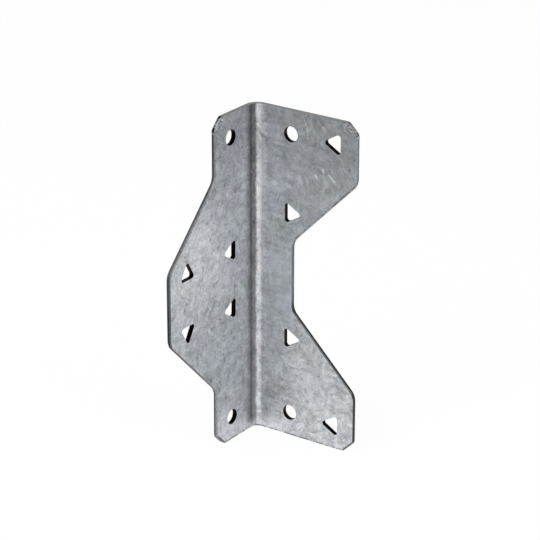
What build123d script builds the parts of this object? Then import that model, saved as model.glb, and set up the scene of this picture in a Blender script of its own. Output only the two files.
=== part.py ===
from build123d import *
from math import radians, sqrt, tan
import os

# Framing clip: one galvanised sheet, sheared from a strip, punched, and folded once to a right angle.
# It stands on one end with the fold upright, and its origin is at the middle of the base of its box.
# The notched leg runs along +X from the fold and the bellied leg along -Y, so the angle opens
# to +X and -Y. The upper and lower halves mirror each other about mid height.

# Sheet and fold
thickness = 1.9
inside_radius = 3.0
outside_radius = inside_radius + thickness
length = 127.0
half_length = length / 2

# Zigzag shear line. Reaches are measured from the outer corner of the fold. One line makes both long
# sides, because the clips nest on the strip: the step that the notched leg loses in the middle is the
# step that the bellied leg gains there.
notched_end_reach = 45.1
bellied_end_reach = 25.9
zigzag_step = 27.2
zigzag_angle = 45.0
zigzag_middle = 26.8
zigzag_round = 5.5
waist_reach = notched_end_reach - zigzag_step
belly_reach = bellied_end_reach + zigzag_step
inner_bend_height = zigzag_middle / 2
outer_bend_height = inner_bend_height + zigzag_step / tan(radians(zigzag_angle))

# Clipped corners at the ends of both legs
corner_cut = 4.0
corner_round = 2.0

# Punches: a round one for screws and a triangular one for nails
hole_diameter = 5.9
triangle_side = 8.6
triangle_round = 1.0

# Punched rows, as heights above and below mid height
end_row_inset = 9.0
end_row = half_length - end_row_inset
waist_row = 24.5
belly_row = 11.3

# Punched columns, as reaches from the outer corner of the fold
notched_inner_column = 17.3
bellied_inner_column = 16.9
lobe_margin = 9.2
belly_margin = 9.9
notched_outer_column = notched_end_reach - lobe_margin
bellied_outer_column = belly_reach - belly_margin

# Rolled-in edge of the outer faces, where the shear enters the sheet, drawn as a small bevel. The edges
# of the inside faces, where it leaves the sheet, are crisp, and so are the rims of the holes.
edge_bevel = 0.2

# Each leg is drawn flat on its outer face, from the outer corner of the fold at mid height,
# and has its thickness towards the inside of the angle.
fold_x = -notched_end_reach / 2
fold_y = belly_reach / 2
notched_plane = Plane(origin=(fold_x, fold_y, half_length), x_dir=(1, 0, 0), z_dir=(0, -1, 0))
bellied_plane = Plane(origin=(fold_x, fold_y, half_length), x_dir=(0, -1, 0), z_dir=(1, 0, 0))
fold_axis_plane = Plane(origin=(fold_x + outside_radius, fold_y - outside_radius, 0))

# Rounding of each corner that leg_outline lists for one half, in its order
half_rounds = [0, corner_round, corner_round, zigzag_round, zigzag_round]


def leg_outline(end_reach, middle_reach):
    """Corners of one flat leg: the upper half from the fold to mid height, then the lower half back."""
    upper_half = [
        (outside_radius, half_length),
        (end_reach - corner_cut, half_length),
        (end_reach, half_length - corner_cut),
        (end_reach, outer_bend_height),
        (middle_reach, inner_bend_height),
    ]
    lower_half = [(reach, -height) for reach, height in reversed(upper_half)]
    return upper_half + lower_half


# Nail hole: an equilateral triangle with rounded corners, its apex pointing along +X
with BuildSketch() as triangle_punch:
    RegularPolygon(radius=triangle_side / sqrt(3), side_count=3)
    fillet(triangle_punch.vertices(), radius=triangle_round)

with BuildPart() as angle_clip:
    # Fold: a quarter ring over the whole length
    with BuildSketch(fold_axis_plane):
        with BuildLine():
            outer_arc = CenterArc((0, 0), outside_radius, start_angle=90, arc_size=90)
            inner_arc = CenterArc((0, 0), inside_radius, start_angle=90, arc_size=90)
            Line(outer_arc @ 0, inner_arc @ 0)
            Line(outer_arc @ 1, inner_arc @ 1)
        make_face()
    extrude(amount=length)

    # Notched leg: a lobe at each end and a waist between them
    with BuildSketch(notched_plane):
        with BuildLine():
            FilletPolyline(
                *leg_outline(notched_end_reach, waist_reach),
                radius=half_rounds + half_rounds[::-1],
                close=True,
            )
        make_face()
        with Locations((notched_inner_column, end_row), (notched_inner_column, -end_row)):
            Circle(hole_diameter / 2, mode=Mode.SUBTRACT)
        with Locations((notched_inner_column, waist_row), (notched_inner_column, -waist_row)):
            add(triangle_punch.sketch, mode=Mode.SUBTRACT)
        with Locations((notched_outer_column, end_row), (notched_outer_column, -end_row)):
            add(triangle_punch.sketch, rotation=180, mode=Mode.SUBTRACT)
    extrude(amount=thickness)

    # Bellied leg: narrow ends and a belly between them
    with BuildSketch(bellied_plane):
        with BuildLine():
            FilletPolyline(
                *leg_outline(bellied_end_reach, belly_reach),
                radius=half_rounds + half_rounds[::-1],
                close=True,
            )
        make_face()
        with Locations((bellied_inner_column, end_row), (bellied_inner_column, -end_row)):
            Circle(hole_diameter / 2, mode=Mode.SUBTRACT)
        with Locations((bellied_inner_column, belly_row), (bellied_inner_column, -belly_row)):
            add(triangle_punch.sketch, mode=Mode.SUBTRACT)
        for side in (-1, 1):
            with Locations((bellied_outer_column, side * belly_row)):
                add(triangle_punch.sketch, rotation=side * 90, mode=Mode.SUBTRACT)
    extrude(amount=thickness)

    # Bevel round the outer faces. The longest edge of each is where it runs into the fold, so those
    # two stay as they are.
    notched_outer_face = angle_clip.faces().filter_by(Axis.Y).sort_by(Axis.Y)[-1]
    bellied_outer_face = angle_clip.faces().filter_by(Axis.X).sort_by(Axis.X)[0]
    outer_edges = notched_outer_face.outer_wire().edges() + bellied_outer_face.outer_wire().edges()
    chamfer(outer_edges.sort_by(SortBy.LENGTH)[:-2], length=edge_bevel)

angle_clip.part.label = "angle_clip"

os.makedirs("parts", exist_ok=True)
export_step(angle_clip.part, "parts/angle_clip.step")
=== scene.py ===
import bpy
from math import cos, pi, radians, sin
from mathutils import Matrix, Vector


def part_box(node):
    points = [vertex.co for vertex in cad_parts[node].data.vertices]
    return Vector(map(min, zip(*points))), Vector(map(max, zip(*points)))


# A framing clip of galvanised sheet on a white studio floor, in metres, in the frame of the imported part.

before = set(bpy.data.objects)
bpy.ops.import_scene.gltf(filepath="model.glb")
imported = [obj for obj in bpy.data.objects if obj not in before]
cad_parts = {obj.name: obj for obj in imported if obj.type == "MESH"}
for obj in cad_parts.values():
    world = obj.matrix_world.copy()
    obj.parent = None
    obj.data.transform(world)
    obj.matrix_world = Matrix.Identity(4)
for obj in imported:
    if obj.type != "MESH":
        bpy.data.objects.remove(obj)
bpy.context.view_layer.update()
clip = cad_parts["angle_clip"]
box_low, box_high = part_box("angle_clip")
MM = 0.001

# The clip's own sizes, as the shader needs them to tell its faces apart. The outer corner of the fold
# is at the low X, high Y corner of the box, and both legs run away from it. The shader works on the
# flat blank: reach is measured from that corner, positive on the notched leg and negative on the
# bellied one, and height from mid height.
THICKNESS = 1.9 * MM
OUTSIDE_RADIUS = 4.9 * MM
HEEL_X = box_low.x
HEEL_Y = box_high.y
MID_HEIGHT = (box_low.z + box_high.z) / 2
HALF_LENGTH = (box_high.z - box_low.z) / 2

# Middles of the punched holes in the upper half, as reach and height
HOLE_MIDDLES = [
    (17.3 * MM, 54.5 * MM),
    (35.9 * MM, 54.5 * MM),
    (17.3 * MM, 24.5 * MM),
    (-16.9 * MM, 54.5 * MM),
    (-16.9 * MM, 11.3 * MM),
    (-43.2 * MM, 11.3 * MM),
]
HOLE_REACH = 6.6 * MM

# How far the clipped corners' lines lie out, as reach plus height
NOTCHED_CORNER_LINE = 104.6 * MM
BELLIED_CORNER_LINE = 85.4 * MM
CORNER_CUT = 4.0 * MM

# How far the slope below the upper lobe lies out, as reach minus height
SLOPE_LINE = 4.5 * MM

# Where one look gives way to the next: each is the start and end of a soft step in reach or height
PAST_FOLD = (2 * MM, 8 * MM)
ACROSS_FOLD = (-1 * MM, 3 * MM)
UPPER_LOBE = (10 * MM, 24 * MM)
WAIST_TOP = (6 * MM, 12 * MM)
WAIST_FOOT = (-20 * MM, -10 * MM)
LOWER_LOBE = (-24 * MM, -14 * MM)
LOWER_LOBE_REACH = (6 * MM, 14 * MM)
TOP_END = (36 * MM, 60 * MM)

# Bands of reach beside the fold: painted shade in the fold and its crease, a painted highlight line, a
# painted lighter band past it, and wipe lines. Each has the start and end of its soft step up, then of its
# step down
FOLD_SHADE_STRIP = (-7.5 * MM, -3.0 * MM, -0.5 * MM, 0.6 * MM)
CREASE_SHADE = (-4.2 * MM, -3.2 * MM, -2.8 * MM, -1.8 * MM)
FOLD_HIGHLIGHT_LINE = (-0.4 * MM, 2.2 * MM, 2.8 * MM, 5.8 * MM)
FOLD_LIGHT_BAND = (3.5 * MM, 6 * MM, 9 * MM, 14 * MM)
WIPED_BAND = (2 * MM, 5 * MM, 14 * MM, 26 * MM)

# Scales of the patterns, in features per metre, how far the flakes' outlines are warped, and how much the
# feathering bends within a flake, in radians
FLAKE_SCALE = 200.0
FLAKE_WARP = 5 * MM
FEATHER_BEND = 2.4
FEATHER_SCALE = 1250.0
STROKE_SCALE = 1000.0
WIPE_SCALE = 640.0
STREAK_SCALE = 700.0
PIT_SCALE = 850.0
STAIN_SCALE = 430.0

# How many times finer the patterns are through the sheet than along it
DEPTH_STRETCH = 20.0

# The zinc's tone, how far single flakes and the waist differ from it, how far painted shade darkens the top
# end, and how much each pattern lightens it
BASE_TONE = 0.604
FLAKE_CONTRAST = 0.08
WAIST_LIGHT = 0.09
TOP_END_SHADE = 0.94
TONE_SHARES = {
    "patches": 0.025,
    "clouds": 0.05,
    "mottle": 0.08,
    "grain": 0.125,
    "pits": -0.1,
    "stains": -0.13,
    "feather": 0.095,
    "strokes": 0.11,
    "wipes": 0.055,
    "streaks": 0.02,
}

# Tints of the zinc, and how much the painted shade in the fold and its crease, the painted light beside the
# fold, the burr with its painted contact shade and the nicks with their painted glints lighten it
ZINC_COOL = (0.937, 0.989, 1.008, 1.0)
ZINC_BLUISH = (0.949, 0.983, 1.028, 1.0)
ZINC_BLUE = (0.938, 0.977, 1.04, 1.0)
FOLD_SHADE_TONE = -0.62
CREASE_SHADE_TONE = -0.14
FOLD_LIGHT_TONE = 0.06
BURR_AND_SHADE_TONE = -0.78
NICK_AND_GLINT_TONE = 1.25

# The spacing of the shear's nicks and their painted glints across the clipped corners, as a rise of height
# minus reach
NICK_SPACING = 1.7 * MM

# The shear edges: how far the torn part reaches in from the outer face, and the colours of torn steel
# along the outline, painted lighter and darker from place to place for the light and shade each edge gets,
# of zinc drawn thin or thick over the rest, of dark spots and bright painted glints at the corners, and of
# hole walls painted near black as shade
TORN_DEPTH = 1.15 * MM
TORN = (0.045, 0.045, 0.047, 1.0)
TORN_WAIST = (0.21, 0.212, 0.215, 1.0)
TORN_LOW_SLOPE_SHADE = (0.008, 0.008, 0.009, 1.0)
TORN_BELLY_TOP = (0.09, 0.091, 0.094, 1.0)
TORN_BELLY_LOW = (0.11, 0.111, 0.114, 1.0)
TORN_LEVEL_END = (0.13, 0.132, 0.135, 1.0)
ZINC_DRAWN_THIN = (0.21, 0.215, 0.22, 1.0)
ZINC_DRAWN_THICK = (0.36, 0.365, 0.37, 1.0)
CHIP_DARK = (0.004, 0.004, 0.004, 1.0)
PAINTED_GLINT_COLOUR = (0.72, 0.72, 0.74, 1.0)
HOLE_WALL_SHADE = (0.002, 0.002, 0.002, 1.0)

# Gloss of the zinc, what the shear edges add to its roughness, and its relief
ZINC_ROUGHNESS = 0.33
EDGE_ROUGHNESS = 0.25
ZINC_METALLIC = 0.8
RELIEF_STRENGTH = 0.12
RELIEF_HEIGHT = 0.05 * MM

# Marks on the inside faces, in millimetres: reach on the blank, height from mid height, length, width,
# lean in degrees from the horizontal, and how much lighter (or darker, below 0) the zinc is in them
MARKS = [
    (29.3, 43.2, 3.4, 0.8, -85, 0.8),
    (26.4, 40.7, 3.2, 0.8, -65, 0.6),
    (32.9, 41.4, 5.4, 0.8, -41, 0.6),
    (22.0, 58.8, 7.5, 0.8, -72, 0.42),
    (29.6, 59.1, 5.0, 0.8, -57, 0.42),
    (37.2, -41.8, 7.0, 0.5, 3, -0.3),
    (38.6, -43.5, 4.2, 0.5, 12, -0.25),
    (31.3, -46.2, 4.0, 0.6, -102, -0.3),
    (23.3, -48.0, 2.6, 0.6, -54, -0.3),
    (-43.2, -1.9, 2.4, 1.2, 80, -0.45),
    (-27.2, -14.9, 1.6, 1.3, 0, -0.4),
    (-22.1, -12.8, 2.6, 1.2, -35, -0.45),
    (-31.2, -12.6, 1.5, 1.3, 0, -0.4),
    (-20.2, -27.4, 1.8, 1.2, 90, -0.4),
    (-33.9, -22.7, 2.0, 1.1, 80, -0.45),
    (-31.8, 13.1, 1.5, 1.5, 0, -0.3),
    (-18.8, 37.8, 2.2, 1.2, 75, -0.45),
    (-27.7, 19.5, 2.2, 1.1, 80, -0.4),
    (-10.8, 20.3, 1.4, 1.2, 0, -0.35),
    (8.4, -39.3, 1.2, 1.0, 0, -0.3),
    (12.7, -45.3, 1.6, 1.0, 0, -0.35),
    (5.0, -55.7, 1.2, 1.2, 0, -0.35),
    (11.2, -55.9, 1.2, 1.0, 60, -0.35),
    (28.4, -36.5, 1.0, 1.0, 0, -0.25),
    (24.1, -31.3, 1.4, 0.9, 0, -0.3),
    (18.3, -38.5, 1.2, 1.2, 0, -0.25),
    (29.1, 60.6, 1.2, 1.1, 60, -0.4),
    (10.9, 33.9, 1.2, 0.9, 0, -0.3),
    (40.3, 46.0, 2.4, 1.4, 64, -0.35),
    (23.0, 46.5, 11.0, 7.0, 25, -0.11),
    (13.0, 37.0, 17.0, 12.0, 10, 0.16),
    (-20.0, -46.0, 9.0, 7.0, 90, -0.08),
    (41.0, -56.0, 8.0, 6.0, 90, -0.1),
    (-19.0, 37.0, 9.0, 5.0, 80, -0.08),
    (43.0, 59.4, 1.2, 0.9, -50, -0.7),
    (9.4, 14.8, 1.4, 1.1, 80, -0.4),
    (11.6, 18.2, 4.5, 2.0, 34, -0.2),
    (15.5, 20.4, 3.2, 0.8, 21, -0.3),
    (27.7, -50.3, 8.2, 0.6, 14, -0.22),
    (27.7, -52.2, 5.7, 0.5, 40, -0.2),
    (-26.0, 34.0, 10.0, 9.0, 90, -0.11),
    (-10.2, 47.5, 6.5, 4.5, 20, -0.11),
    (10.0, -15.0, 14.0, 7.0, 90, 0.09),
    (25.6, -30.0, 12.0, 7.0, 0, -0.08),
    (11.7, 59.0, 8.0, 6.0, 0, -0.08),
    (33.9, 40.0, 6.0, 6.0, 0, -0.09),
    (25.8, 53.0, 4.0, 0.9, 26, -0.25),
    (25.0, 52.2, 5.0, 0.6, 8, -0.18),
    (43.1, 47.0, 14.0, 0.7, -89, 0.16),
    (37.0, 48.9, 4.6, 0.6, -46, 0.22),
    (17.2, 62.0, 4.0, 1.2, -19, -0.2),
    (20.7, 47.7, 4.0, 1.6, -34, -0.12),
    (-25.2, 36.5, 9.0, 5.0, 62, -0.13),
    (41.6, -50.5, 15.0, 5.0, 90, -0.11),
    (-23.3, -53.0, 14.0, 4.5, 90, -0.08),
]

# The photograph's camera
PHOTO_SIZE = 540
FOCAL_PIXELS = 2473.0
SENSOR = 36.0
CAMERA_AZIMUTH = radians(-55.03)
CAMERA_ELEVATION = radians(22.33)
CAMERA_ROLL = radians(0.076)
CAMERA_DISTANCE = 883.6 * MM
CAMERA_AIM = Vector((-5.25, 11.87, 70.40)) * MM

# Azimuths to the left of the photograph's view, to its front and to its right
VIEW_LEFT = radians(-145)
VIEW_FRONT = radians(-55)
VIEW_RIGHT = radians(55)

# The floor: its half width, its paint, how far to the left its reflection in the metal darkens, the tints
# of that reflection near the clip and far from it, and how much of what is seen is white, not paint
FLOOR_HALF_WIDTH = 4.0
FLOOR_PAINT = (0.92, 0.92, 0.92, 1.0)
FLOOR_FAR = (42 * MM, 287 * MM)
FLOOR_NEAR_TINT = (1.0, 0.972, 0.987, 1.0)
FLOOR_FAR_TINT = (0.955, 0.98, 1.01, 1.0)
FLOOR_WHITE_SHARE = 0.95
WHITE = (1.0, 1.0, 1.0, 1.0)

# Strength of the world's light
PLAIN_LIGHT = 0.6


class Nodes:
    """Builds a material's nodes. An input is a number, a colour, a vector or another node's output."""

    def __init__(self, tree):
        self.tree = tree
        tree.nodes.clear()

    def put(self, value, socket):
        if isinstance(value, bpy.types.NodeSocket):
            self.tree.links.new(value, socket)
        else:
            socket.default_value = value

    def add(self, kind, inputs, **settings):
        node = self.tree.nodes.new(kind)
        for name, value in settings.items():
            setattr(node, name, value)
        for key, value in inputs.items():
            self.put(value, node.inputs[key])
        return node

    def math(self, operation, *values):
        return self.add("ShaderNodeMath", dict(enumerate(values)), operation=operation).outputs[0]

    def plus(self, first, second):
        return self.math("ADD", first, second)

    def minus(self, first, second):
        return self.math("SUBTRACT", first, second)

    def rest(self, share):
        """What a share leaves of 1."""
        return self.minus(1.0, share)

    def absolute(self, value):
        return self.math("ABSOLUTE", value)

    def product(self, first, *others):
        for other in others:
            first = self.math("MULTIPLY", first, other)
        return first

    def highest(self, first, *others):
        for other in others:
            first = self.math("MAXIMUM", first, other)
        return first

    def added(self, base, pattern, amount):
        """The base with this amount of a pattern on top."""
        return self.math("MULTIPLY_ADD", pattern, amount, base)

    def step(self, value, low, high, to_low=0.0, to_high=1.0):
        """A smooth step from to_low at value low to to_high at value high."""
        inputs = {"Value": value, "From Min": low, "From Max": high, "To Min": to_low, "To Max": to_high}
        return self.add("ShaderNodeMapRange", inputs, interpolation_type="SMOOTHSTEP").outputs[0]

    def fall(self, value, low, high):
        """A smooth step from 1 down to 0."""
        return self.step(value, low, high, 1.0, 0.0)

    def band(self, value, rise_low, rise_high, fall_low, fall_high):
        """1 between a smooth step up and a smooth step down, and 0 outside them."""
        return self.product(self.step(value, rise_low, rise_high), self.fall(value, fall_low, fall_high))

    def vector(self, x=0.0, y=0.0, z=0.0):
        return self.add("ShaderNodeCombineXYZ", {"X": x, "Y": y, "Z": z}).outputs[0]

    def parts(self, vector):
        return self.add("ShaderNodeSeparateXYZ", {0: vector}).outputs

    def vector_math(self, operation, *values):
        return self.add("ShaderNodeVectorMath", dict(enumerate(values)), operation=operation).outputs

    def length(self, vector):
        return self.vector_math("LENGTH", vector)["Value"]

    def scaled(self, vector, factor):
        return self.add("ShaderNodeVectorMath", {0: vector, "Scale": factor}, operation="SCALE").outputs[0]

    def shifted(self, vector, x, z):
        """A place elsewhere in the noise, so that two patterns don't coincide."""
        return self.vector_math("ADD", vector, (x, 0.0, z))[0]

    def along(self, vector, azimuth):
        """How far a vector reaches in this direction on the floor."""
        return self.vector_math("DOT_PRODUCT", vector, (cos(azimuth), sin(azimuth), 0.0))["Value"]

    def stretch(self, vector, scale):
        return self.add("ShaderNodeMapping", {"Vector": vector, "Scale": scale}).outputs[0]

    def noise(self, vector, scale, detail=2.0, roughness=0.5, distortion=0.0):
        """Noise from 0 to 1, with features of about one part in scale of a metre."""
        inputs = {
            "Vector": vector,
            "Scale": scale,
            "Detail": detail,
            "Roughness": roughness,
            "Distortion": distortion,
        }
        return self.add("ShaderNodeTexNoise", inputs).outputs["Fac"]

    def waves(self, vector, scale, detail=2.0, roughness=0.5):
        """Noise with more contrast, from -1 to 1."""
        return self.step(self.noise(vector, scale, detail, roughness), 0.3, 0.7, -1.0, 1.0)

    def wobble(self, vector, scale):
        """A random offset, up to about half a unit each way."""
        inputs = {"Vector": vector, "Scale": scale, "Detail": 2.0}
        colour = self.add("ShaderNodeTexNoise", inputs).outputs["Color"]
        return self.vector_math("SUBTRACT", colour, (0.5, 0.5, 0.5))[0]

    def mix_colour(self, factor, first, second):
        node = self.add("ShaderNodeMix", {"Factor": factor}, data_type="RGBA")
        for name, value in (("A", first), ("B", second)):
            self.put(value, next(s for s in node.inputs if s.name == name and s.type == "RGBA"))
        return next(s for s in node.outputs if s.type == "RGBA")


class ZincCoatedSheet:
    """Galvanised steel with soft spangle on its faces and dark, bare shear edges, with shade and light
    painted in at the fold, the top end, the lower ends, the corners, the edges and the hole walls.
    """

    def __init__(self):
        self.material = bpy.data.materials.new("zinc_coated_sheet")
        self.material.use_nodes = True
        self.n = n = Nodes(self.material.node_tree)
        self.place_on_blank()
        self.spangle()
        self.corner_nicks_and_glints()

        tone = self.spangle_tone()
        # Nicks on the inside face near the clipped corners, their bright parts partly painted glints
        tone = n.product(tone, n.added(1.0, n.product(self.bruises_and_glints, self.nicks_and_glints, self.inside), NICK_AND_GLINT_TONE))
        # Marks, the burr with its painted contact shade, and the painted shade and highlight of the fold
        tone = n.product(tone, self.marks(), self.burr_and_contact_shade(), self.painted_fold_shade_and_highlight())
        zinc = n.scaled(self.tint(), tone)
        near_hole = self.near_hole()
        colour = n.mix_colour(self.shear, zinc, self.edge_colour(near_hole))

        roughness = n.added(ZINC_ROUGHNESS, self.mottle, 0.03)
        roughness = n.added(roughness, self.feather, 0.03)
        roughness = n.added(roughness, self.shear, EDGE_ROUGHNESS)
        # Hole walls fully metallic, so that their near-black paint shows as shade
        metal = n.added(ZINC_METALLIC, n.product(self.shear, near_hole), 1.0 - ZINC_METALLIC)
        # Painted glints are made less metallic, so that they stay bright
        metal = n.added(metal, n.product(self.shear, self.painted_glints), -0.75)
        relief = n.plus(n.product(self.mottle, 0.4), n.product(self.grain, 0.25))
        relief = n.plus(relief, n.product(self.feather, 0.3))
        bump = {"Height": relief, "Strength": RELIEF_STRENGTH, "Distance": RELIEF_HEIGHT}
        look = {
            "Base Color": colour,
            "Roughness": roughness,
            "Metallic": metal,
            "Normal": n.add("ShaderNodeBump", bump).outputs[0],
        }
        shader = n.add("ShaderNodeBsdfPrincipled", look)
        n.add("ShaderNodeOutputMaterial", {"Surface": shader.outputs[0]})

    def place_on_blank(self):
        """Where a point lies on the flat blank, and which way the surface faces there."""
        n = self.n
        place = n.add("ShaderNodeTexCoord", {}).outputs
        x, y, z = n.parts(place["Object"])
        reach_x = n.minus(x, HEEL_X)
        reach_y = n.minus(HEEL_Y, y)
        self.blank_x = n.minus(reach_x, reach_y)
        self.height = n.minus(z, MID_HEIGHT)
        to_axis_x = n.highest(n.minus(OUTSIDE_RADIUS, reach_x), 0.0)
        to_axis_y = n.highest(n.minus(OUTSIDE_RADIUS, reach_y), 0.0)
        to_axis = n.length(n.vector(to_axis_x, to_axis_y))
        self.depth = n.minus(OUTSIDE_RADIUS, to_axis)
        self.blank = n.vector(self.blank_x, n.product(self.depth, DEPTH_STRETCH), self.height)
        self.inside = n.step(self.depth, 0.5 * THICKNESS, 0.9 * THICKNESS)
        self.above_reach = n.minus(self.height, n.highest(reach_x, reach_y))

        # 1 on the shear edges and hole walls, 0 on the rolled faces
        facing_x, facing_y, self.facing_z = n.parts(n.vector_math("ABSOLUTE", place["Normal"])[0])
        in_notched_leg = n.math("GREATER_THAN", reach_x, OUTSIDE_RADIUS)
        in_bellied_leg = n.math("GREATER_THAN", reach_y, OUTSIDE_RADIUS)
        in_fold = n.rest(n.highest(in_notched_leg, in_bellied_leg))
        across = n.plus(n.product(in_notched_leg, facing_y), n.product(in_bellied_leg, facing_x))
        across = n.plus(across, n.product(in_fold, n.rest(self.facing_z)))
        self.shear = n.fall(across, 0.55, 0.85)

    def spangle(self):
        """Flakes of zinc, each with its own tone and its own direction of feathering."""
        n, blank = self.n, self.blank
        warped = n.vector_math("ADD", blank, n.scaled(n.wobble(blank, 140.0), FLAKE_WARP))[0]
        flakes = n.add("ShaderNodeTexVoronoi", {"Vector": warped, "Scale": FLAKE_SCALE}).outputs
        turn_random, self.tone_random, feather_random = n.parts(flakes["Color"])
        bend = n.product(n.noise(blank, 230.0, 1.0), FEATHER_BEND)
        turn = {
            "Vector": n.vector_math("SUBTRACT", blank, flakes["Position"])[0],
            "Angle": n.added(bend, turn_random, 2 * pi),
        }
        self.turned = n.add("ShaderNodeVectorRotate", turn, rotation_type="Y_AXIS").outputs[0]
        feather = n.noise(n.stretch(self.turned, (0.24, 1.0, 1.0)), FEATHER_SCALE)
        feather = n.step(feather, 0.35, 0.7, -1.0, 1.0)
        self.feather = n.product(feather, n.step(feather_random, 0.1, 0.9, 0.3, 1.3))
        self.mottle = n.waves(blank, 480.0, 3.0, 0.6)
        self.grain = n.waves(blank, 2000.0, 3.0, 0.65)

    def spangle_tone(self):
        """The tone of the zinc. It is calmer and lighter at the waist, and painted darker at the top end as
        shade.
        """
        n, blank, blank_x, height = self.n, self.blank, self.blank_x, self.height
        past_fold = n.step(blank_x, *PAST_FOLD)
        upper_lobe = n.product(past_fold, n.step(height, *UPPER_LOBE))
        waist = n.product(past_fold, n.step(height, *WAIST_FOOT), n.fall(height, *WAIST_TOP))
        calm = n.added(1.0, waist, -0.5)
        smoother = n.product(n.added(n.step(blank_x, *PAST_FOLD, 1.0, 0.88), upper_lobe, -0.25), calm)
        beyond_fold = n.step(blank_x, *ACROSS_FOLD, 1.0, 0.4)

        # Short curved lines, light and dark, strongest on the lower lobe of the notched leg
        lower_lobe = n.product(n.step(blank_x, *LOWER_LOBE_REACH), n.fall(height, *LOWER_LOBE), self.inside)
        strokes = n.noise(n.stretch(self.turned, (0.17, 1.0, 1.0)), STROKE_SCALE, 0.0, 0.5, 0.5)
        strokes = n.plus(n.step(strokes, 0.58, 0.7), n.step(strokes, 0.3, 0.42, -1.0, 0.0))
        self.feather = n.product(self.feather, n.added(0.6, lower_lobe, 0.05), calm)

        # Wipe lines across the notched leg, beside the fold
        wiped = n.band(blank_x, *WIPED_BAND)

        # Small dark pits and larger stains
        pits = n.step(n.noise(n.shifted(blank, 2.3, 0.7), PIT_SCALE, 1.0), 0.63, 0.76)
        stains = n.step(n.noise(n.shifted(blank, 0.9, 5.1), STAIN_SCALE, 1.0), 0.6, 0.75)
        patterns = {
            "patches": n.waves(blank, 60.0, 3.0, 0.55),
            "clouds": n.waves(blank, 190.0),
            "mottle": n.product(self.mottle, smoother),
            "grain": n.product(self.grain, smoother),
            "pits": n.product(pits, calm, n.step(height, -18 * MM, -12 * MM, 1.0, beyond_fold)),
            "stains": n.product(stains, calm, n.step(blank_x, *ACROSS_FOLD, 1.0, 0.5)),
            "feather": self.feather,
            "strokes": n.product(strokes, n.added(0.35, lower_lobe, 0.42), calm),
            "wipes": n.product(n.waves(n.stretch(blank, (0.13, 1.0, 1.0)), WIPE_SCALE), wiped),
            "streaks": n.waves(n.stretch(blank, (1.0, 1.0, 0.1)), STREAK_SCALE),
        }
        tone = n.plus(BASE_TONE, n.product(n.minus(self.tone_random, 0.5), FLAKE_CONTRAST))
        # Painted shade: the zinc darker toward the top end
        top_end_shade = n.step(height, *TOP_END, 1.0, TOP_END_SHADE)
        tone = n.product(tone, n.added(1.0, waist, WAIST_LIGHT), top_end_shade)
        for name, amount in TONE_SHARES.items():
            tone = n.added(tone, patterns[name], amount)
        return tone

    def corner_nicks_and_glints(self):
        """Bright and dark nicks where the shear has bruised the zinc at the clipped corners; their bright
        parts are partly painted glints.
        """
        n, height = self.n, self.height
        far_out = n.plus(n.absolute(self.blank_x), n.absolute(height))
        corner_line = n.step(self.blank_x, -1 * MM, 1 * MM, BELLIED_CORNER_LINE, NOTCHED_CORNER_LINE)
        clip_middle = n.minus(2 * HALF_LENGTH - CORNER_CUT, corner_line)
        self.from_clip_middle = n.absolute(n.minus(self.above_reach, clip_middle))
        self.past_corner = n.minus(far_out, n.minus(corner_line, THICKNESS))
        bruises_and_glints = n.step(self.past_corner, -2.3 * MM, -0.4 * MM)
        self.bruises_and_glints = n.product(bruises_and_glints, n.step(height, -20 * MM, 20 * MM, 0.3, 1.0))
        along_clip = n.added(self.above_reach, n.noise(self.blank, 800.0), 5 * MM)
        waves = n.math("SINE", n.product(along_clip, 2 * pi / NICK_SPACING))
        self.nicks_and_glints = n.step(n.added(waves, self.grain, 0.8), -0.4, 1.2, -0.5, 0.9)

    def marks(self):
        """Scratches, specks and stains, with ragged outlines."""
        n = self.n
        ragged = n.stretch(n.wobble(self.blank, 900.0), (0.7 * MM, 0.0, 0.7 * MM))
        on_face = n.vector_math("ADD", n.vector(self.blank_x, 0.0, self.height), ragged)[0]
        marked = 0.0
        for reach, mark_height, length, width, lean, change in MARKS:
            ellipse = {
                "Vector": on_face,
                "Location": (reach * MM, 0.0, mark_height * MM),
                "Rotation": (0.0, radians(-lean), 0.0),
                "Scale": (length / 2 * MM, 1.0, width / 2 * MM),
            }
            inside_ellipse = n.add("ShaderNodeMapping", ellipse, vector_type="TEXTURE").outputs[0]
            marked = n.plus(marked, n.step(n.length(inside_ellipse), 0.4, 1.1, change, 0.0))
        return n.added(1.0, marked, self.inside)

    def burr_and_contact_shade(self):
        """Thin dark burr along the lower ends and corners and under the upper lobe, in dashes; along the
        lower ends and corners it is also painted contact shade.
        """
        n, height = self.n, self.height
        dashes = n.step(self.mottle, -0.6, 0.3)
        at_corners = n.step(self.past_corner, -1.1 * MM, -0.5 * MM)
        at_foot = n.product(dashes, n.step(height, 0.75 * MM - HALF_LENGTH, 0.2 * MM - HALF_LENGTH))
        # Burr and painted contact shade along the lower ends and lower corners
        low = n.product(n.highest(at_corners, at_foot), n.math("LESS_THAN", height, 0.0))
        past_slope = n.minus(n.minus(self.blank_x, height), SLOPE_LINE - THICKNESS)
        on_slope = n.step(past_slope, -1.1 * MM, -0.4 * MM)
        on_slope = n.product(on_slope, n.step(height, 14.5 * MM, 16 * MM), dashes, 0.75)
        return n.added(1.0, n.product(n.highest(low, on_slope), self.inside), BURR_AND_SHADE_TONE)

    def painted_fold_shade_and_highlight(self):
        """Inside of the fold: painted shade in a strip along it and in its crease, a painted highlight line
        beside them, and a painted lighter band past that.
        """
        n, blank, height = self.n, self.blank, self.height
        ragged = n.product(n.minus(n.noise(blank, 400.0, 4.0, 0.65), 0.5), 1.9 * MM)
        drift = n.product(n.minus(n.noise(n.stretch(blank, (0.05, 0.05, 1.0)), 110.0), 0.5), 1.2 * MM)
        fold_x = n.plus(n.plus(self.blank_x, ragged), drift)
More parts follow.
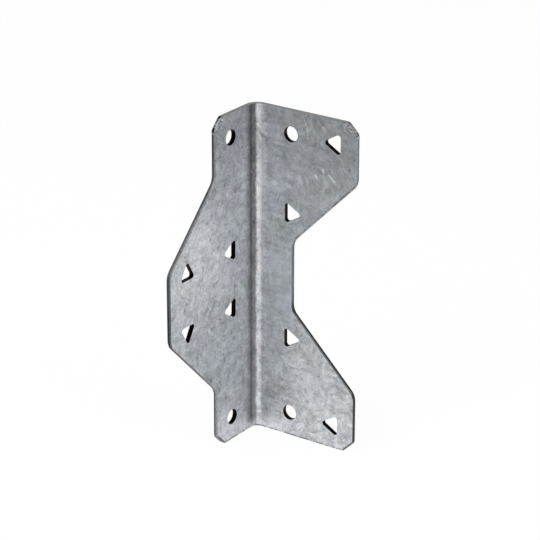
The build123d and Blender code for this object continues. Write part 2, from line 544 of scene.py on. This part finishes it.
        # Painted shade along the inside of the fold, weaker toward the lower end
        fold_shade = n.product(n.band(fold_x, *FOLD_SHADE_STRIP), self.inside)
        fold_shade = n.product(fold_shade, n.step(height, -45 * MM, 45 * MM, 0.92, 1.06))
        fold_shade = n.product(fold_shade, n.step(height, 0.5 * MM - HALF_LENGTH, 3.5 * MM - HALF_LENGTH, 0.3, 1.0))
        crease_shade = n.band(fold_x, *CREASE_SHADE)
        # Painted highlight line beside the fold's painted shade
        fold_highlight = n.product(n.band(fold_x, *FOLD_HIGHLIGHT_LINE), self.inside)
        fold_highlight = n.product(fold_highlight, n.step(height, -30 * MM, 45 * MM, 0.32, 1.05))
        uneven = n.noise(n.stretch(blank, (0.4, 1.0, 1.0)), 330.0)
        fold_highlight = n.product(fold_highlight, n.step(uneven, 0.3, 0.7, 0.55, 1.45))
        # Painted lighter band past the highlight
        fold_light = n.band(fold_x, *FOLD_LIGHT_BAND)
        tone = n.added(1.0, fold_shade, n.added(FOLD_SHADE_TONE, crease_shade, CREASE_SHADE_TONE))
        return n.product(tone, n.plus(fold_highlight, 1.0), n.added(1.0, fold_light, FOLD_LIGHT_TONE))

    def tint(self):
        """The faint cool tint of the zinc, bluer in places."""
        n = self.n
        bluish = n.step(n.noise(n.shifted(self.blank, 3.1, 1.7), 70.0, 3.0), 0.38, 0.62)
        blue = n.step(n.noise(n.shifted(self.blank, 1.3, 4.2), 50.0), 0.56, 0.7)
        return n.mix_colour(blue, n.mix_colour(bluish, ZINC_COOL, ZINC_BLUISH), ZINC_BLUE)

    def near_hole(self):
        """1 within reach of a punched hole's middle, so on its walls, and 0 elsewhere."""
        n = self.n
        from_mid_height = n.absolute(self.height)
        near = 0.0
        for reach, hole_height in HOLE_MIDDLES:
            mid_sheet = THICKNESS / 2 if reach > 0 else -THICKNESS / 2
            from_x = n.minus(self.blank_x, reach - mid_sheet)
            far = n.length(n.vector(from_x, 0.0, n.minus(from_mid_height, hole_height)))
            near = n.highest(near, n.math("LESS_THAN", far, HOLE_REACH))
        return near

    def edge_colour(self, near_hole):
        """Zinc drawn over the part next to the inside face, and torn dark steel on the rest, painted
        lighter and darker place by place for its light and shade, with painted glints at the corners and
        hole walls painted near black as shade.
        """
        n, height, depth, grain, nicks_and_glints = self.n, self.height, self.depth, self.grain, self.nicks_and_glints
        on_notched = n.math("GREATER_THAN", self.blank_x, 0.0)
        on_bellied = n.rest(on_notched)
        level_end = n.step(self.facing_z, 0.8, 0.9)
        sloping = n.step(self.facing_z, 0.4, 0.6)
        low_notched = n.product(on_notched, n.fall(height, -14 * MM, -4 * MM))
        low_slope = n.product(low_notched, sloping)
        high_notched = n.product(on_notched, n.step(height, 0.0, 30 * MM))
        waist = n.product(on_notched, n.rest(n.highest(low_notched, high_notched)))
        bellied_end = n.product(on_bellied, n.step(n.absolute(height), 30 * MM, 42 * MM))
        belly_top = n.product(on_bellied, n.band(height, -4 * MM, 6 * MM, 30 * MM, 38 * MM))
        belly_low = n.product(on_bellied, n.fall(height, -26 * MM, -14 * MM), sloping)
        ticks = n.step(n.noise(self.blank, 900.0, 1.0), 0.35, 0.65, -1.0, 1.0)

        torn_depth = TORN_DEPTH
        changes = (
            (low_notched, 0.7 * MM),
            (low_slope, -0.85 * MM),
            (n.product(belly_top, sloping), -0.1 * MM),
            (high_notched, -0.5 * MM),
            (level_end, -0.5 * MM),
            (bellied_end, n.step(height, -10 * MM, 10 * MM, -0.5 * MM, -0.25 * MM)),
            (self.mottle, 0.2 * MM),
            (ticks, 0.3 * MM),
        )
        for share, change in changes:
            torn_depth = n.added(torn_depth, share, change)
        torn = n.step(n.minus(torn_depth, n.added(depth, grain, 0.3 * MM)), -0.15 * MM, 0.15 * MM)

        # One torn steel, painted lighter and darker place by place for the light and shade each edge gets,
        # nearly black on the lower slope as painted shade
        bare = TORN
        places = (
            (waist, TORN_WAIST),
            (low_slope, TORN_LOW_SLOPE_SHADE),
            (belly_top, TORN_BELLY_TOP),
            (belly_low, TORN_BELLY_LOW),
            (level_end, TORN_LEVEL_END),
        )
        for share, colour in places:
            bare = n.mix_colour(share, bare, colour)
        slopes = n.product(n.highest(low_notched, belly_top), sloping, 0.5)
        drawn = n.highest(high_notched, level_end, bellied_end, slopes)
        edge = n.mix_colour(torn, n.mix_colour(drawn, ZINC_DRAWN_THIN, ZINC_DRAWN_THICK), bare)

        # Dark spots, and bright painted glints, along the upper clipped corners
        upper = n.math("GREATER_THAN", height, 0.0)
        clipped = n.product(n.step(self.past_corner, -0.7 * MM, -0.4 * MM), upper)
        end_spots = n.band(self.from_clip_middle, 2.4 * MM, 3.0 * MM, 4.4 * MM, 5.0 * MM)
        end_depth = n.step(depth, 1.0 * MM, 1.6 * MM, n.added(1.0, on_notched, -0.4), 0.0)
        end_spots = n.product(end_spots, end_depth)
        spots = n.highest(end_spots, n.product(n.step(nicks_and_glints, -0.2, -0.6), n.step(grain, 0.0, 0.5)))
        middle_depth = n.band(depth, 0.3 * MM, 0.7 * MM, 1.3 * MM, 1.7 * MM)
        self.painted_glints = n.product(clipped, n.step(nicks_and_glints, 0.4, 0.9), middle_depth, n.rest(end_spots))
        edge = n.mix_colour(n.product(clipped, spots), edge, CHIP_DARK)
        edge = n.mix_colour(self.painted_glints, edge, PAINTED_GLINT_COLOUR)
        edge = n.scaled(edge, n.added(1.0, ticks, 0.55))
        # Hole walls painted near black, as shade
        return n.mix_colour(near_hole, edge, HOLE_WALL_SHADE)


def rays_in(n):
    """The kinds of ray, and 1 for those that see the white ground: camera, glossy and transmission."""
    rays = n.add("ShaderNodeLightPath", {}).outputs
    seen = n.highest(rays["Is Glossy Ray"], rays["Is Transmission Ray"], rays["Is Camera Ray"])
    return rays, seen


def floor_material():
    """White to the camera, dimmer in the metal's reflections, and pale paint for all other light."""
    material = bpy.data.materials.new("studio_floor")
    material.use_nodes = True
    n = Nodes(material.node_tree)
    rays, seen = rays_in(n)
    paint = n.add("ShaderNodeBsdfDiffuse", {"Color": FLOOR_PAINT}).outputs[0]
    ground = n.add("ShaderNodeTexCoord", {}).outputs["Object"]
    to_left, to_front = n.along(ground, VIEW_LEFT), n.along(ground, VIEW_FRONT)
    mirrored = n.product(
        n.step(to_left, -10 * MM, 15 * MM, 1.0, 0.81),
        n.step(to_left, *FLOOR_FAR, 1.0, 0.2),
        n.step(to_front, 20 * MM, 60 * MM, 1.0, 0.95),
        n.step(to_front, 230 * MM, 300 * MM, 1.0, 0.35),
        n.step(n.along(ground, VIEW_RIGHT), 0.0, 60 * MM, 1.0, 0.9),
    )
    strength = n.highest(rays["Is Camera Ray"], mirrored)
    tint = n.mix_colour(n.step(to_left, *FLOOR_FAR), FLOOR_NEAR_TINT, FLOOR_FAR_TINT)
    tint = n.mix_colour(rays["Is Camera Ray"], tint, WHITE)
    white = n.add("ShaderNodeEmission", {"Color": tint, "Strength": strength}).outputs[0]
    mixed = n.add("ShaderNodeMixShader", {0: n.product(seen, FLOOR_WHITE_SHARE), 1: paint, 2: white})
    n.add("ShaderNodeOutputMaterial", {"Surface": mixed.outputs[0]})
    return material


def studio_floor():
    """A pale floor with the clip's shadow faint on it."""
    size = FLOOR_HALF_WIDTH
    mesh = bpy.data.meshes.new("studio_floor")
    corners = [(-size, -size, 0), (size, -size, 0), (size, size, 0), (-size, size, 0)]
    mesh.from_pydata(corners, [], [(0, 1, 2, 3)])
    mesh.materials.append(floor_material())
    floor = bpy.data.objects.new("studio_floor", mesh)
    bpy.context.scene.collection.objects.link(floor)


def studio_world():
    """White to the camera, dimmer in the metal's reflections, and plain light for all other rays."""
    world = bpy.data.worlds.new("studio")
    bpy.context.scene.world = world
    world.use_nodes = True
    n = Nodes(world.node_tree)
    rays, seen = rays_in(n)
    direction = n.add("ShaderNodeTexCoord", {}).outputs["Generated"]
    mirrored = n.product(
        n.step(n.parts(direction)[2], 0.05, 0.5, 1.0, 0.32),
        n.step(n.along(direction, VIEW_LEFT), 0.1, 0.8, 1.0, 0.4),
        n.step(n.along(direction, VIEW_RIGHT), 0.1, 0.8, 1.0, 0.75),
    )
    strength = n.highest(rays["Is Camera Ray"], n.product(rays["Is Glossy Ray"], mirrored))
    strength = n.highest(strength, n.added(PLAIN_LIGHT, seen, -PLAIN_LIGHT))
    light = n.add("ShaderNodeBackground", {"Color": WHITE, "Strength": strength}).outputs[0]
    n.add("ShaderNodeOutputWorld", {"Surface": light})


def toward(azimuth, elevation):
    """The direction from the clip to a lamp or the camera."""
    return Vector((cos(azimuth) * cos(elevation), sin(azimuth) * cos(elevation), sin(elevation)))


def softbox(name, azimuth, elevation, distance, width, power):
    """A square area light aimed at the middle of the clip."""
    data = bpy.data.lights.new(name, "AREA")
    data.shape = "SQUARE"
    data.size = width
    data.energy = power
    lamp = bpy.data.objects.new(name, data)
    bpy.context.scene.collection.objects.link(lamp)
    direction = toward(azimuth, elevation)
    lamp.location = Vector((0, 0, MID_HEIGHT)) + direction * distance
    lamp.rotation_euler = direction.to_track_quat("Z", "Y").to_euler()


def photo_camera():
    """The photograph's camera, as fitted to the clip's edges and holes."""
    data = bpy.data.cameras.new("photo_camera")
    data.sensor_width = SENSOR
    data.lens = FOCAL_PIXELS * SENSOR / PHOTO_SIZE
    data.clip_start = 0.05
    data.clip_end = 50.0
    camera = bpy.data.objects.new("photo_camera", data)
    bpy.context.scene.collection.objects.link(camera)
    direction = toward(CAMERA_AZIMUTH, CAMERA_ELEVATION)
    camera.location = CAMERA_AIM + direction * CAMERA_DISTANCE
    camera.rotation_euler = direction.to_track_quat("Z", "Y").to_euler()
    camera.rotation_euler.rotate_axis("Z", CAMERA_ROLL)
    bpy.context.scene.camera = camera


clip.material_slots[0].material = ZincCoatedSheet().material
studio_floor()
studio_world()
softbox("key_softbox", azimuth=radians(-100), elevation=radians(45), distance=1.2, width=0.8, power=9.0)
softbox("fill_softbox", azimuth=radians(-10), elevation=radians(35), distance=1.4, width=0.8, power=4.0)
photo_camera()
bpy.context.scene.view_settings.view_transform = "Standard"
